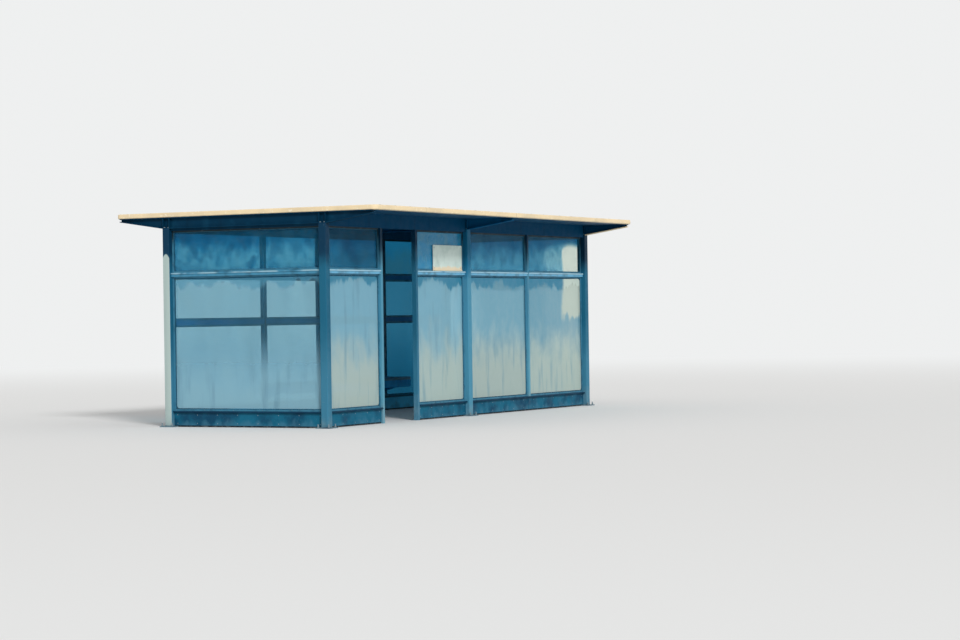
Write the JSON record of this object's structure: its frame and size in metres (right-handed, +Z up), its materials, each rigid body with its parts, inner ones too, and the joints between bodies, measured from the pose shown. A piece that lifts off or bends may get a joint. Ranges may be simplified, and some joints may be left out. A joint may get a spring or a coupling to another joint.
{
  "type": "glazed railway waiting shelter",
  "caption": "Flat-roofed glazed waiting shelter with square posts, tapered rafters, a thin overhanging roof, an open doorway in the front wall and a bench inside.",
  "frame": {"origin": "on the ground under the centre of the roof", "axes": "+X along the front wall, to the right as seen from the front; -Y is the front with the doorway; +Z up"},
  "size_m": [7.3, 3.84, 2.688],
  "materials": {
    "frame_steel": "satin dark blue paint on steel",
    "glazing_bar": "satin blue paint on aluminium bars",
    "plinth_panel": "dark blue coated sheet",
    "pane_frame": "satin blue paint",
    "glass": "dusty pale blue sheet glass",
    "roof_panel": "coated ribbed sheet, dark underneath",
    "roof_edge": "cream coated folded sheet",
    "bench_timber": "stained hardwood slats",
    "bench_steel": "dark painted steel",
    "notice_plate": "bare pale grey-green sheet"
  },
  "bodies": {
    "root": {"post_front_left": "frame_steel", "post_front_middle": "frame_steel", "post_front_right": "frame_steel", "post_back_left": "frame_steel", "post_back_middle": "frame_steel", "post_back_right": "frame_steel", "rafter_left": "frame_steel", "rafter_middle": "frame_steel", "rafter_right": "frame_steel", "front_beams": "frame_steel", "back_beams": "frame_steel", "left_end_head_rail": "frame_steel", "right_end_head_rail": "frame_steel", "base_plates": "frame_steel", "door_jamb_left": "glazing_bar", "door_jamb_right": "glazing_bar", "front_mullion": "glazing_bar", "back_mullions": "glazing_bar", "front_transom_left": "glazing_bar", "front_transoms_right": "glazing_bar", "back_transoms": "glazing_bar", "left_end_transom": "glazing_bar", "right_end_transom": "glazing_bar", "front_plinth_left": "plinth_panel", "front_plinth_right": "plinth_panel", "back_plinth": "plinth_panel", "left_end_plinth": "plinth_panel", "right_end_plinth": "plinth_panel", "front_left_pane_frames": "pane_frame", "front_right_pane_frames": "pane_frame", "back_pane_frames": "pane_frame", "left_end_pane_frames": "pane_frame", "right_end_pane_frames": "pane_frame", "front_left_glass": "glass", "front_right_glass": "glass", "back_glass": "glass", "left_end_glass": "glass", "right_end_glass": "glass", "roof_panels": "roof_panel", "roof_edge_front": "roof_edge", "roof_edge_back": "roof_edge", "roof_edge_left": "roof_edge", "roof_edge_right": "roof_edge", "bench_slats": "bench_timber", "bench_frame": "bench_steel", "notice_plate": "notice_plate"}
  },
  "joints": []
}
